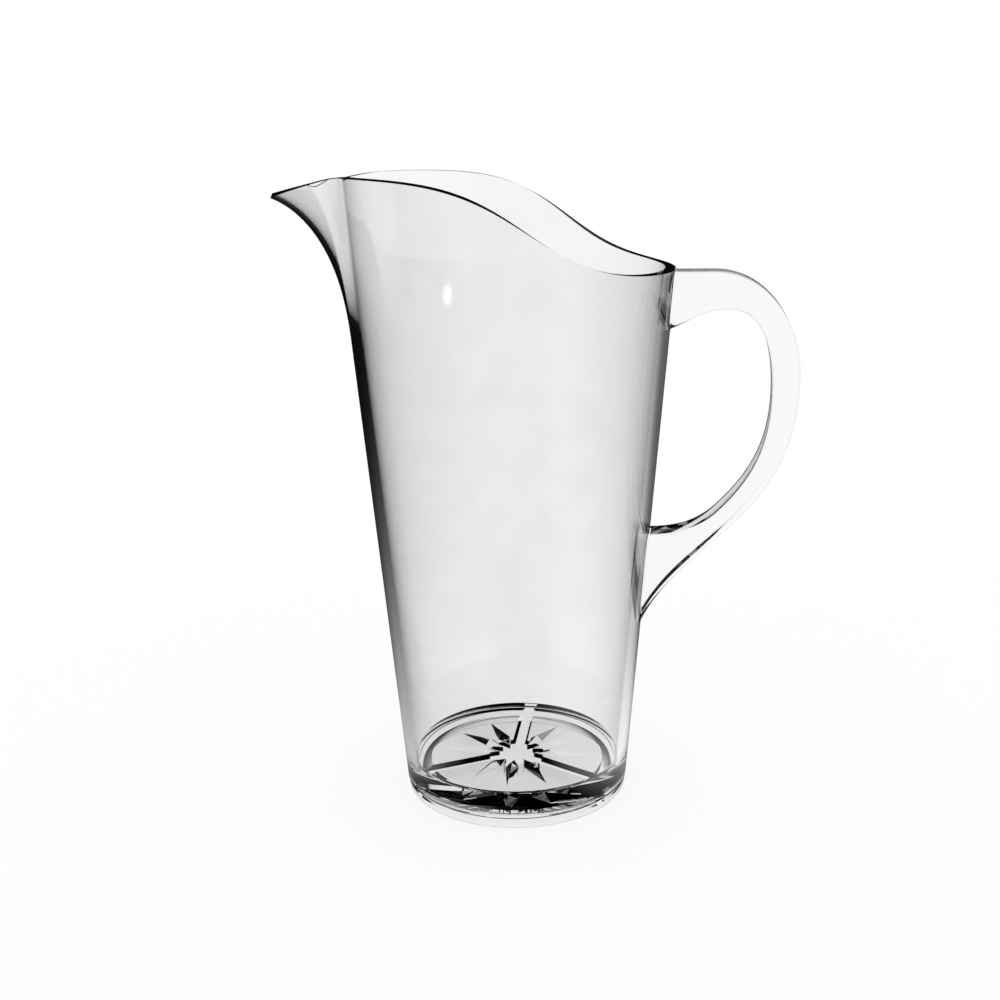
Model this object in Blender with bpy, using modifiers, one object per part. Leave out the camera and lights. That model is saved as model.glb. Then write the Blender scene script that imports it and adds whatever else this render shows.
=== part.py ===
"""Clear moulded water pitcher: tapered wall, star-cut base and loop handle.

The wall is an open tapered tube whose rim falls in one wave from the pouring lip
to the handle. A thick star-cut base is plugged into its lower end and bonded there,
and a solid strap handle is bonded to the wall at two saddles.

Metres, +Z up. The origin is on the wall's axis at table level, the handle is
towards +X and the pouring lip towards -X.
"""

import math

import bmesh
import bpy
from mathutils import Matrix, Vector
from mathutils.geometry import interpolate_bezier

MM = 0.001

# Bond line between pieces that are glued together
BOND_GAP = 0.3 * MM

# Tapered wall
WALL_FOOT_RADIUS = 46.3 * MM
WALL_TAPER = math.radians(4.8)
WALL_THICKNESS = 4.2 * MM
WALL_EDGE_ROUND = 0.9 * MM

# Wave of the rim, from the crest over the lip down to the handle
RIM_LOW = 216.4 * MM
RIM_RISE = 36.5 * MM
RIM_FALL_ANGLE = math.radians(103.0)
RIM_FALL_SPREAD = math.radians(24.0)

# Pouring lip, pulled out of the wall towards -X
LIP_HEIGHT = 60.8 * MM
LIP_REACH = 26.9 * MM
LIP_HALF_ANGLE = math.radians(33.0)
LIP_THICKNESS = 2.0 * MM
LIP_THINNING = 3.0
LIP_DIP = 8.6 * MM
LIP_SWELL = 1.8
LIP_ROLL = 0.336
LIP_ROLL_SHARE = 0.95

# Base: a foot below the wall, a plug inside it and a floor on top
FOOT_STEP = 0.6 * MM
FOOT_HEIGHT = 4.2 * MM
FLOOR_HEIGHT = 15.4 * MM
BASE_EDGE_ROUND = 0.8 * MM

# Star cut into the base's underside: sunken sectors between spokes, and rays
POCKET_MARGIN = 1.5 * MM
POCKET_FLARE = 4.0 * MM
POCKET_DEPTH = 5.4 * MM
HUB_RADIUS = 11.6 * MM
SPOKE_COUNT = 3
SPOKE_ROOT_WIDTH = 6.0 * MM
SPOKE_TIP_WIDTH = 4.0 * MM
RAYS_PER_SECTOR = 3
RAY_INNER_RADIUS = 7.4 * MM
RAY_WAIST_RADIUS = 14.6 * MM
RAY_TIP_RADIUS = 32.5 * MM
RAY_WAIST_WIDTH = 6.4 * MM
RAY_DEPTH_SHARE = 0.55
RAY_FIT = 0.95
CUT_OVERLAP = 0.3 * MM

# Strap handle
HANDLE_WIDTH = 17.0 * MM
HANDLE_EDGE_ROUND = 3.0 * MM
HANDLE_SINK = 9.0 * MM
HANDLE_TOP_DROP = 0.6 * MM
STRAP_PULL = 0.39
UPPER_ROOT_HEIGHT = 24.0 * MM
UPPER_ROOT_RISE = 0.2
CROWN_REACH = 14.6 * MM
CROWN_THICKNESS = 14.2 * MM
CROWN_STAGGER = 5.5 * MM
FINGER_GAP = 41.0 * MM
GRIP_HEIGHT = 172.4 * MM
GRIP_THICKNESS = 10.3 * MM
GRIP_STAGGER = 3.0 * MM
ARM_REACH = 34.5 * MM
ARM_RISE = 45.9 * MM
ARM_THICKNESS = 8.4 * MM
ARM_LEAN = math.radians(37.0)
LOWER_ROOT_BOTTOM = 69.2 * MM
LOWER_ROOT_HEIGHT = 42.5 * MM
LOWER_TIP_SINK = 2.0 * MM
LOWER_TIP_LEAN = 0.39

# Largest share of a thickness that a rounded edge may take
ROUND_LIMIT = 0.45

# Fineness of the solids
WALL_COLUMNS = 80
WALL_ROWS = 16
COLUMN_CROWDING = 0.55
ROW_CROWDING = 2.2
TURN_STEPS = 64
STRAP_STEPS = 9
CORNER_STEPS = 3
ROUND_STEPS = 2
ROUND_ANGLE = math.radians(50.0)
FLAT_ANGLE = math.radians(1.0)
SHADE_ANGLE = math.radians(40.0)
MERGE_DISTANCE = 0.01 * MM


def reset_scene():
    """Remove whatever the scene holds."""
    for obj in list(bpy.data.objects):
        bpy.data.objects.remove(obj)


def make_collection(name):
    """Return a new collection linked to the scene."""
    collection = bpy.data.collections.new(name)
    bpy.context.scene.collection.children.link(collection)
    return collection


def clear_plastic(name, grey, roughness):
    """Return a clear plastic with a neutral grey tint."""
    material = bpy.data.materials.new(name)
    material.use_nodes = True
    shader = material.node_tree.nodes["Principled BSDF"]
    shader.inputs["Base Color"].default_value = (grey, grey, grey, 1.0)
    shader.inputs["Roughness"].default_value = roughness
    shader.inputs["Metallic"].default_value = 0.0
    shader.inputs["Transmission Weight"].default_value = 1.0
    return material


def add_object(name, mesh, collection, material=None):
    """Return an object for the mesh, linked to the collection."""
    obj = bpy.data.objects.new(name, mesh)
    collection.objects.link(obj)
    if material is not None:
        mesh.materials.append(material)
    return obj


def mesh_from(name, bm):
    """Return a mesh made from the bmesh, which is freed."""
    bmesh.ops.recalc_face_normals(bm, faces=bm.faces)
    mesh = bpy.data.meshes.new(name)
    bm.to_mesh(mesh)
    bm.free()
    return mesh


def as_cutter(obj):
    """Mark an object as a cutter, which is no piece of the pitcher."""
    obj.hide_render = True
    obj.display_type = "WIRE"
    return obj


def cut(obj, cutter):
    """Cut one object by another."""
    boolean = obj.modifiers.new("cut_" + cutter.name, "BOOLEAN")
    boolean.operation = "DIFFERENCE"
    boolean.solver = "EXACT"
    boolean.object = cutter


def round_edges(obj, radius):
    """Round the sharp edges of an object."""
    bevel = obj.modifiers.new("round_edges", "BEVEL")
    bevel.width = radius
    bevel.segments = ROUND_STEPS
    bevel.limit_method = "ANGLE"
    bevel.angle_limit = ROUND_ANGLE


def turned(name, profile, collection, material=None):
    """Return a solid turned about Z from a profile of (radius, height), top to bottom.

    The fans of triangles on its flat ends are joined to one face each.
    """
    mesh = bpy.data.meshes.new(name)
    points = [(radius, 0.0, height) for radius, height in profile]
    links = [(i, i + 1) for i in range(len(points) - 1)]
    mesh.from_pydata(points, links, [])
    obj = add_object(name, mesh, collection, material)
    screw = obj.modifiers.new("turn", "SCREW")
    screw.steps = TURN_STEPS
    screw.render_steps = TURN_STEPS
    screw.use_merge_vertices = True
    screw.merge_threshold = MERGE_DISTANCE
    flat = obj.modifiers.new("flat_ends", "DECIMATE")
    flat.decimate_type = "DISSOLVE"
    flat.angle_limit = FLAT_ANGLE
    return obj


def wall_radius(height):
    """Return the outer radius of the tapered wall at a height."""
    return WALL_FOOT_RADIUS + height * math.tan(WALL_TAPER)


def wall_inset():
    """Return the wall's thickness measured level instead of square to its face."""
    return WALL_THICKNESS / math.cos(WALL_TAPER)


def wall_bottom():
    """Return the height of the wall's lower edge, a bond line above the foot."""
    return FOOT_HEIGHT + BOND_GAP


def lip_share(angle):
    """Return how much of the lip is felt at an angle from its middle, from 1 to 0."""
    if angle >= LIP_HALF_ANGLE:
        return 0.0
    return math.cos(0.5 * math.pi * angle / LIP_HALF_ANGLE) ** 2


def rim_height(angle):
    """Return the height of the rim's outer edge at an angle from the middle of the lip."""
    wave = 0.5 + 0.5 * math.tanh((RIM_FALL_ANGLE - angle) / RIM_FALL_SPREAD)
    return RIM_LOW + RIM_RISE * wave - LIP_DIP * lip_share(angle)


def lip_rise(angle, height):
    """Return the way up the lip at an angle and a height, from 0 to 1."""
    start = RIM_LOW + RIM_RISE - LIP_HEIGHT
    rise = (height - start) / (rim_height(angle) - start)
    return min(max(rise, 0.0), 1.0)


def lip_curl(rise):
    """Return how far the lip's roll has come at a way up the lip."""
    return 1.0 - (1.0 - (LIP_ROLL_SHARE * rise) ** LIP_SWELL) ** LIP_ROLL


def lip_offset(angle, height):
    """Return how far the lip pulls the wall towards -X."""
    curl = lip_curl(lip_rise(angle, height)) / lip_curl(1.0)
    return LIP_REACH * lip_share(angle) * curl


def wall_fullness(angle, height):
    """Return 1 where the wall has its full thickness, down to 0 at the thin edge of the lip."""
    thinned = min(LIP_THINNING * lip_share(angle), 1.0)
    return 1.0 - thinned * lip_rise(angle, height)


def wall_angle(turn):
    """Return the angle from the middle of the lip at a way round the wall, from -1 to 1.

    Columns are closer together at the lip, where the wall curves most.
    """
    return math.pi * abs(turn) - COLUMN_CROWDING * math.sin(math.pi * abs(turn))


def wall_point(turn, climb):
    """Return a point of the wall's outer face.

    turn runs once round from the lip, from -1 to 1, and climb from the lower edge to the rim.
    Rows are closer together at the rim.
    """
    angle = wall_angle(turn)
    share = 1.0 - (1.0 - climb) ** ROW_CROWDING
    height = wall_bottom() + (rim_height(angle) - wall_bottom()) * share
    radius = wall_radius(height)
    x = -radius * math.cos(angle) - lip_offset(angle, height)
    y = math.copysign(radius * math.sin(angle), turn)
    return Vector((x, y, height))


def make_body_shell(parts, material):
    """Make the tapered wall with its wave rim and pouring lip."""
    bm = bmesh.new()
    bmesh.ops.create_grid(bm, x_segments=WALL_COLUMNS, y_segments=WALL_ROWS, size=1.0)
    weights = bm.verts.layers.deform.verify()
    for vert in bm.verts:
        angle = wall_angle(vert.co.x)
        vert.co = wall_point(vert.co.x, 0.5 + 0.5 * vert.co.y)
        vert[weights][0] = wall_fullness(angle, vert.co.z)
    bmesh.ops.remove_doubles(bm, verts=bm.verts, dist=MERGE_DISTANCE)
    shell = add_object("body_shell", mesh_from("body_shell", bm), parts, material)
    full_wall = shell.vertex_groups.new(name="full_wall")
    face = shell.data.polygons[0]
    outward = face.normal.dot(Vector((face.center.x, face.center.y, 0.0))) > 0.0
    wall = shell.modifiers.new("wall", "SOLIDIFY")
    wall.thickness = WALL_THICKNESS
    wall.offset = -1.0 if outward else 1.0
    wall.use_even_offset = True
    wall.vertex_group = full_wall.name
    wall.thickness_vertex_group = min(LIP_THICKNESS / WALL_THICKNESS, 1.0)
    round_edges(shell, min(WALL_EDGE_ROUND, ROUND_LIMIT * LIP_THICKNESS))
    return shell


def plug_radius(height):
    """Return the radius of the base's plug, a bond line inside the wall."""
    return wall_radius(height) - wall_inset() - BOND_GAP


def pocket_radius(height):
    """Return the radius of the sunken sectors, which narrow upwards and leave a ring around them."""
    return plug_radius(FOOT_HEIGHT) - POCKET_MARGIN - POCKET_FLARE * height / POCKET_DEPTH


def spoke_angle(index):
    """Return the direction of a spoke, the first one square to the handle."""
    return 0.5 * math.pi + 2.0 * math.pi * index / SPOKE_COUNT


def ray_angle(sector, index):
    """Return the direction of a short ray of a sector, counted from 1."""
    return spoke_angle(sector + index / (RAYS_PER_SECTOR + 1))


def polar(radius, angle, height):
    """Return the point at a radius and an angle about the axis."""
    return Vector((radius * math.cos(angle), radius * math.sin(angle), height))


def sector_outline(sector, height):
    """Return the outline of the sunken sector between two spokes at a height.

    It runs round the foot from one spoke to the next, in along that spoke and back
    along the hub, whose edge is notched where each ray starts.
    """
    draft = (SPOKE_ROOT_WIDTH - SPOKE_TIP_WIDTH) / POCKET_DEPTH
    half_spoke = 0.5 * (SPOKE_TIP_WIDTH + draft * height)
    radius = pocket_radius(height)
    first = spoke_angle(sector)
    last = spoke_angle(sector + 1)
    start = first + math.asin(half_spoke / radius)
    end = last - math.asin(half_spoke / radius)
    steps = TURN_STEPS // SPOKE_COUNT
    outline = [polar(radius, start + (end - start) * i / steps, height) for i in range(steps + 1)]
    outline.append(polar(HUB_RADIUS, last - math.asin(half_spoke / HUB_RADIUS), height))
    taper = (HUB_RADIUS - RAY_INNER_RADIUS) / (RAY_WAIST_RADIUS - RAY_INNER_RADIUS)
    half_notch = math.asin(0.5 * RAY_WAIST_WIDTH * taper / HUB_RADIUS)
    for index in range(RAYS_PER_SECTOR, 0, -1):
        middle = ray_angle(sector, index)
        outline.append(polar(HUB_RADIUS, middle + half_notch, height))
        outline.append(polar(RAY_INNER_RADIUS, middle, height))
        outline.append(polar(HUB_RADIUS, middle - half_notch, height))
    outline.append(polar(HUB_RADIUS, first + math.asin(half_spoke / HUB_RADIUS), height))
    return outline


def make_sector(sector, cutters):
    """Make the cutter of one sunken sector, which is wider at the table than at its ceiling."""
    name = "sector_%d" % (sector + 1)
    bm = bmesh.new()
    below = [bm.verts.new(point) for point in sector_outline(sector, -CUT_OVERLAP)]
    above = [bm.verts.new(point) for point in sector_outline(sector, POCKET_DEPTH)]
    bm.faces.new(below)
    bm.faces.new(above)
    rims = [bm.edges.get((a, b)) for ring in (below, above) for a, b in zip(ring, ring[1:] + ring[:1])]
    sides = bmesh.ops.bridge_loops(bm, edges=rims)["faces"]
    bmesh.ops.triangulate(bm, faces=sides)
    return as_cutter(add_object(name, mesh_from(name, bm), cutters))


def make_ray(sector, index, cutters):
    """Make the cutter of one ray of the star, a kite that peaks at its waist."""
    name = "ray_%d_%d" % (sector + 1, index)
    bm = bmesh.new()
    made = bmesh.ops.create_cone(bm, cap_ends=True, segments=4, radius1=1.0, radius2=0.0, depth=1.0)
    waist = Vector((RAY_WAIST_RADIUS, 0.0, POCKET_DEPTH - CUT_OVERLAP))
    depth = RAY_DEPTH_SHARE * (FLOOR_HEIGHT - POCKET_DEPTH)
    corners = (
        Vector((RAY_TIP_RADIUS - RAY_WAIST_RADIUS, 0.0, 0.0)),
        Vector((0.0, 0.5 * RAY_WAIST_WIDTH, 0.0)),
        Vector((RAY_INNER_RADIUS - RAY_WAIST_RADIUS, 0.0, 0.0)),
        Vector((0.0, -0.5 * RAY_WAIST_WIDTH, 0.0)),
    )
    ring = [vert for vert in made["verts"] if vert.co.z < 0.0]
    peak = [vert for vert in made["verts"] if vert.co.z > 0.0]
    ring.sort(key=lambda vert: math.atan2(vert.co.y, vert.co.x) % (2.0 * math.pi))
    for vert, corner in zip(ring, corners):
        vert.co = waist + RAY_FIT * corner
    for vert in peak:
        vert.co = waist + Vector((0.0, 0.0, depth + CUT_OVERLAP))
    bmesh.ops.rotate(bm, verts=bm.verts, matrix=Matrix.Rotation(ray_angle(sector, index), 3, "Z"))
    return as_cutter(add_object(name, mesh_from(name, bm), cutters))


def make_star_base(parts, cutters, material):
    """Make the thick base with its foot, its plug and the star cut into its underside."""
    foot = wall_radius(FOOT_HEIGHT) - FOOT_STEP
    profile = (
        (0.0, FLOOR_HEIGHT),
        (plug_radius(FLOOR_HEIGHT), FLOOR_HEIGHT),
        (plug_radius(FOOT_HEIGHT), FOOT_HEIGHT),
        (foot, FOOT_HEIGHT),
        (foot, 0.0),
        (0.0, 0.0),
    )
    base = turned("star_base", profile, parts, material)
    round_edges(base, BASE_EDGE_ROUND)
    for sector in range(SPOKE_COUNT):
        cut(base, make_sector(sector, cutters))
        for index in range(1, RAYS_PER_SECTOR + 1):
            cut(base, make_ray(sector, index, cutters))
    return base


def strap_edge(stations):
    """Return points along a smooth edge through stations of (point, direction)."""
    edge = [stations[0][0]]
    for (start, out_way), (end, in_way) in zip(stations, stations[1:]):
        pull = STRAP_PULL * (end - start).length
        first = start + out_way.normalized() * pull
        second = end - in_way.normalized() * pull
        edge.extend(interpolate_bezier(start, first, second, end, STRAP_STEPS + 1)[1:])
    return edge


def outer_edge():
    """Return the strap's outer edge, from the upper root round to the lower one."""
    top = RIM_LOW - HANDLE_TOP_DROP
    wall = wall_radius(top)
    lower = wall_radius(LOWER_ROOT_BOTTOM)
    grip = wall_radius(GRIP_HEIGHT) + FINGER_GAP + GRIP_THICKNESS
    return strap_edge((
        (Vector((wall - HANDLE_SINK, 0.0, top)), Vector((1.0, 0.0, 0.0))),
        (Vector((wall + CROWN_REACH, 0.0, top)), Vector((1.0, 0.0, 0.0))),
        (Vector((grip, 0.0, GRIP_HEIGHT + GRIP_STAGGER)), Vector((0.0, 0.0, -1.0))),
        (Vector((lower + ARM_REACH, 0.0, LOWER_ROOT_BOTTOM + ARM_RISE)), Vector((-1.0, 0.0, -1.0))),
        (Vector((lower - LOWER_TIP_SINK, 0.0, LOWER_ROOT_BOTTOM)), Vector((-LOWER_TIP_LEAN, 0.0, -1.0))),
    ))


def inner_edge():
    """Return the strap's inner edge, from the upper root round to the lower one."""
    top = RIM_LOW - HANDLE_TOP_DROP
    wall = wall_radius(top)
    lower = wall_radius(LOWER_ROOT_BOTTOM)
    grip = wall_radius(GRIP_HEIGHT) + FINGER_GAP
    arm = Vector((lower + ARM_REACH, 0.0, LOWER_ROOT_BOTTOM + ARM_RISE))
    across = Vector((-math.sin(ARM_LEAN), 0.0, math.cos(ARM_LEAN)))
    return strap_edge((
        (Vector((wall - HANDLE_SINK, 0.0, top - UPPER_ROOT_HEIGHT)), Vector((1.0, 0.0, UPPER_ROOT_RISE))),
        (Vector((wall + CROWN_REACH + CROWN_STAGGER, 0.0, top - CROWN_THICKNESS)), Vector((1.0, 0.0, 0.0))),
        (Vector((grip, 0.0, GRIP_HEIGHT - GRIP_STAGGER)), Vector((0.0, 0.0, -1.0))),
        (arm + ARM_THICKNESS * across, Vector((-1.0, 0.0, -1.0))),
        (
            Vector((lower - HANDLE_SINK, 0.0, LOWER_ROOT_BOTTOM + LOWER_ROOT_HEIGHT)),
            Vector((-1.0, 0.0, 0.0)),
        ),
    ))


def strap_section(inner, outer):
    """Return the round-cornered outline of the strap between two points of its edges."""
    depth = (outer - inner).length
    outward = (outer - inner).normalized()
    sideways = Vector((0.0, 1.0, 0.0))
    middle = 0.5 * (inner + outer)
    radius = min(HANDLE_EDGE_ROUND, ROUND_LIMIT * depth, ROUND_LIMIT * HANDLE_WIDTH)
    outline = []
    for quarter, (out_sign, side_sign) in enumerate(((1, 1), (-1, 1), (-1, -1), (1, -1))):
        corner = middle + outward * (out_sign * (0.5 * depth - radius))
        corner = corner + sideways * (side_sign * (0.5 * HANDLE_WIDTH - radius))
        for step in range(CORNER_STEPS + 1):
            angle = 0.5 * math.pi * (quarter + step / CORNER_STEPS)
            outline.append(corner + radius * (outward * math.cos(angle) + sideways * math.sin(angle)))
    return outline


def make_wall_cutter(cutters):
    """Make the space that the wall and its bond line take up, to cut the handle's saddles."""
    gap = BOND_GAP / math.cos(WALL_TAPER)
    top = RIM_LOW + RIM_RISE
    profile = (
        (0.0, top),
        (wall_radius(top) + gap, top),
        (wall_radius(0.0) + gap, 0.0),
        (0.0, 0.0),
    )
    return as_cutter(turned("wall_space", profile, cutters))


def make_handle(parts, cutters, material):
    """Make the strap handle by drawing its section along its two edges."""
    bm = bmesh.new()
    rings = []
    for inner, outer in zip(inner_edge(), outer_edge()):
        rings.append([bm.verts.new(point) for point in strap_section(inner, outer)])
    bm.faces.new(rings[0])
    bm.faces.new(rings[-1])
    for ring, following in zip(rings, rings[1:]):
        around = list(zip(ring, ring[1:] + ring[:1], following[1:] + following[:1], following))
        for corners in around:
            bm.faces.new(corners)
    handle = add_object("handle", mesh_from("handle", bm), parts, material)
    cut(handle, make_wall_cutter(cutters))
    return handle


def shade_round(obj):
    """Shade the curved faces of a piece smooth and keep its sharp edges."""
    obj.data.shade_smooth()
    obj.data.set_sharp_from_angle(angle=SHADE_ANGLE)


def main():
    """Build the pitcher."""
    reset_scene()
    parts = make_collection("water_pitcher")
    cutters = make_collection("cutters")
    make_body_shell(parts, clear_plastic("clear_wall", grey=0.96, roughness=0.02))
    make_star_base(parts, cutters, clear_plastic("clear_base", grey=0.95, roughness=0.03))
    make_handle(parts, cutters, clear_plastic("clear_handle", grey=0.97, roughness=0.02))
    for piece in parts.objects:
        shade_round(piece)


main()
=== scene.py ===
"""Looks of a clear moulded water pitcher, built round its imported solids.

The pitcher has three bonded pieces: a tapered wall with a wave rim and a pouring lip,
a thick star-cut base and a solid strap handle. Each class below models one of them at
its real size, in metres, with +Z up, the handle towards +X and the lip towards -X.
"""

import logging
import math
from dataclasses import dataclass
from enum import Enum
from typing import Callable, Iterable

import bpy
from bpy.types import Material, MeshPolygon, Modifier, NodeSocket, NodeTree, Object
from mathutils import Matrix, Vector
from mathutils.geometry import interpolate_bezier


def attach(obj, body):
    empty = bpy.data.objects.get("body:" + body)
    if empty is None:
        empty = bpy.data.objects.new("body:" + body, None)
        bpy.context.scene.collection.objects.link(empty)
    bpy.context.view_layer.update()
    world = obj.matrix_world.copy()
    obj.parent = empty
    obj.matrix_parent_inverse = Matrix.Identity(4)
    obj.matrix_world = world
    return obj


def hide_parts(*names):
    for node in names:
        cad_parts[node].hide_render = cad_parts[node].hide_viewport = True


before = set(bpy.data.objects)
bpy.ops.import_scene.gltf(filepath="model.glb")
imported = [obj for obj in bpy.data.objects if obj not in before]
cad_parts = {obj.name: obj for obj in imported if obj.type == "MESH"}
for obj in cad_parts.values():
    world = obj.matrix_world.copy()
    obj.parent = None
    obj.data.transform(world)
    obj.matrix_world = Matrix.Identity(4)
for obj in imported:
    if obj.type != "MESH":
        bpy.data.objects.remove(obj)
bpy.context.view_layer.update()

MM = 0.001
LOG = logging.getLogger("pitcher")
ROOT_BODY = "root"

# Points closer than this are one point.
MERGE_DISTANCE = 0.01 * MM
# How strongly large faces outweigh small ones in the shading, 50 being even.
FACE_AREA_WEIGHT = 50
# A face looks up if the Z of its normal is more than this.
LOOKS_UP = 0.5
QUAD_CORNERS = 4


class Piece(Enum):
    """The pieces of the pitcher, by the name of the solid that each one stands for."""

    WALL = "body_shell"
    BASE = "star_base"
    HANDLE = "handle"


class Slot(Enum):
    """The record's material slots."""

    WALL = "clear_wall"
    BASE = "clear_base"
    HANDLE = "clear_handle"


class Pick(Enum):
    """What is selected in a mesh."""

    FACES = "FACE"
    EDGES = "EDGE"


class LightCount(Enum):
    """What the Light Path node counts on a ray's way."""

    MIRRORED = "Glossy Depth"
    CROSSED = "Transmission Depth"


def deselect_all() -> None:
    """Leave edit mode and deselect every object."""
    if bpy.context.object is not None and bpy.context.object.mode != "OBJECT":
        bpy.ops.object.mode_set(mode="OBJECT")
    bpy.ops.object.select_all(action="DESELECT")


def activate(obj: Object) -> None:
    """Make one object the only selected and active one."""
    deselect_all()
    obj.select_set(True)
    bpy.context.view_layer.objects.active = obj


def named(name: str) -> Object:
    """Name the object that an operator has just made.

    Args:
        name: The new name of the object and its mesh.

    Returns:
        The object.
    """
    obj = bpy.context.object
    obj.name = name
    obj.data.name = name
    return obj


def settle(obj: Object) -> None:
    """Put the place, turn and scale of an object into its mesh."""
    activate(obj)
    bpy.ops.object.transform_apply(location=True, rotation=True, scale=True)


def clear_selection(obj: Object, pick: Pick) -> None:
    """Deselect all of a mesh.

    Args:
        obj: The object with the mesh.
        pick: What is selected next.
    """
    activate(obj)
    bpy.ops.object.mode_set(mode="EDIT")
    bpy.ops.mesh.select_mode(type=pick.value)
    bpy.ops.mesh.select_all(action="DESELECT")
    bpy.ops.object.mode_set(mode="OBJECT")


def select_faces(obj: Object, wanted: Callable[[MeshPolygon], bool]) -> None:
    """Select the faces of an object that a test asks for and go into edit mode.

    Args:
        obj: The object whose faces are selected.
        wanted: Tells of a face whether it is selected.
    """
    clear_selection(obj, Pick.FACES)
    for face in obj.data.polygons:
        face.select = wanted(face)
    bpy.ops.object.mode_set(mode="EDIT")


def select_edges(obj: Object, wanted: Callable[[Vector, Vector], bool]) -> None:
    """Select the edges of an object that a test asks for and go into edit mode.

    Args:
        obj: The object whose edges are selected.
        wanted: Tells of an edge's two ends whether the edge is selected.
    """
    clear_selection(obj, Pick.EDGES)
    points = obj.data.vertices
    for edge in obj.data.edges:
        first, second = edge.vertices
        edge.select = wanted(points[first].co, points[second].co)
    bpy.ops.object.mode_set(mode="EDIT")


def face_outwards(obj: Object) -> None:
    """Turn the faces of a closed mesh outwards.

    Args:
        obj: The object with the mesh.
    """
    activate(obj)
    bpy.ops.object.mode_set(mode="EDIT")
    bpy.ops.mesh.select_all(action="SELECT")
    bpy.ops.mesh.normals_make_consistent(inside=False)
    bpy.ops.object.mode_set(mode="OBJECT")


def apply_modifier(obj: Object, modifier: Modifier) -> None:
    """Apply a modifier of an object."""
    activate(obj)
    bpy.ops.object.modifier_apply(modifier=modifier.name)


def round_edges(obj: Object, radius: float, segments: int, angle: float) -> None:
    """Round the edges of an object that turn by more than an angle.

    Args:
        obj: The object to round.
        radius: Width of the rounding.
        segments: Faces across the rounding.
        angle: Smallest turn of an edge that is rounded, in radians.
    """
    bevel = obj.modifiers.new("rounding", "BEVEL")
    bevel.width = radius
    bevel.segments = segments
    bevel.limit_method = "ANGLE"
    bevel.angle_limit = angle
    apply_modifier(obj, bevel)


def cut_away(obj: Object, cutter: Object) -> None:
    """Cut an object by a cutter, which is then removed.

    Args:
        obj: The object that is cut.
        cutter: The closed shape that is taken out of it.
    """
    boolean = obj.modifiers.new("cut", "BOOLEAN")
    boolean.operation = "DIFFERENCE"
    boolean.solver = "EXACT"
    boolean.object = cutter
    apply_modifier(obj, boolean)
    bpy.data.objects.remove(cutter)


def joined(objects: Iterable[Object]) -> Object:
    """Join objects into the first of them.

    Args:
        objects: The objects, which don't touch each other.

    Returns:
        The joined object.
    """
    deselect_all()
    listed = list(objects)
    for obj in listed:
        obj.select_set(True)
    bpy.context.view_layer.objects.active = listed[0]
    bpy.ops.object.join()
    return listed[0]


def turned_copies(obj: Object, angles: Iterable[float]) -> list[Object]:
    """Copy an object about the Z axis, each copy with its own mesh.

    Args:
        obj: The object to copy, which is removed.
        angles: The turn of each copy, in radians.

    Returns:
        The copies.
    """
    copies = []
    for angle in angles:
        copy = obj.copy()
        copy.data = obj.data.copy()
        copy.data.transform(Matrix.Rotation(angle, 4, "Z"))
        bpy.context.scene.collection.objects.link(copy)
        copies.append(copy)
    bpy.data.objects.remove(obj)
    return copies


def polish_shading(obj: Object, sharp_angle: float) -> None:
    """Shade curved faces smooth and keep flat faces flat, so that light passes them truly.

    Args:
        obj: The object to shade.
        sharp_angle: Edges that turn by more than this stay sharp, in radians.
    """
    activate(obj)
    bpy.ops.object.shade_smooth_by_angle(angle=sharp_angle)
    weighted = obj.modifiers.new("true_faces", "WEIGHTED_NORMAL")
    weighted.mode = "FACE_AREA"
    weighted.weight = FACE_AREA_WEIGHT
    weighted.keep_sharp = True
    apply_modifier(obj, weighted)


def polar(radius: float, angle: float, height: float) -> Vector:
    """Return the point at a radius and an angle about the Z axis."""
    return Vector((radius * math.cos(angle), radius * math.sin(angle), height))


class NodeMaths:
    """Adds arithmetic to a node tree."""

    def __init__(self, tree: NodeTree) -> None:
        """Keep the tree that nodes are added to."""
        self.tree = tree

    def do(self, operation: str, *values: float | NodeSocket) -> NodeSocket:
        """Add one step of arithmetic.

        Args:
            operation: The Math node's operation.
            values: What it works on, numbers or sockets.

        Returns:
            The socket with the result.
        """
        node = self.tree.nodes.new("ShaderNodeMath")
        node.operation = operation
        for socket, value in zip(node.inputs, values):
            if isinstance(value, NodeSocket):
                self.tree.links.new(value, socket)
            else:
                socket.default_value = value
        return node.outputs["Value"]

    def squares(self, across: NodeSocket, along: NodeSocket) -> NodeSocket:
        """Return a socket with the sum of two squares."""
        return self.do("MULTIPLY_ADD", along, along, self.do("MULTIPLY", across, across))

    def length(self, across: NodeSocket, along: NodeSocket) -> NodeSocket:
        """Return a socket with the length of a flat vector."""
        return self.do("SQRT", self.squares(across, along))

    def between(self, value: NodeSocket, low: float, high: float) -> NodeSocket:
        """Return a socket that is 1 where a value lies between two limits, else 0."""
        above = self.do("GREATER_THAN", value, low)
        return self.do("MULTIPLY", above, self.do("LESS_THAN", value, high))

    def counted(self, count: LightCount) -> NodeSocket:
        """Return a socket with a count of the Light Path node."""
        return self.tree.nodes.new("ShaderNodeLightPath").outputs[count.value]

    def place(self) -> tuple[NodeSocket, NodeSocket, NodeSocket]:
        """Return the sockets of the point's own X, Y and Z on the piece."""
        coords = self.tree.nodes.new("ShaderNodeTexCoord")
        split = self.tree.nodes.new("ShaderNodeSeparateXYZ")
        self.tree.links.new(coords.outputs["Object"], split.inputs["Vector"])
        return split.outputs["X"], split.outputs["Y"], split.outputs["Z"]


BondMask = Callable[[NodeMaths], NodeSocket]


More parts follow.
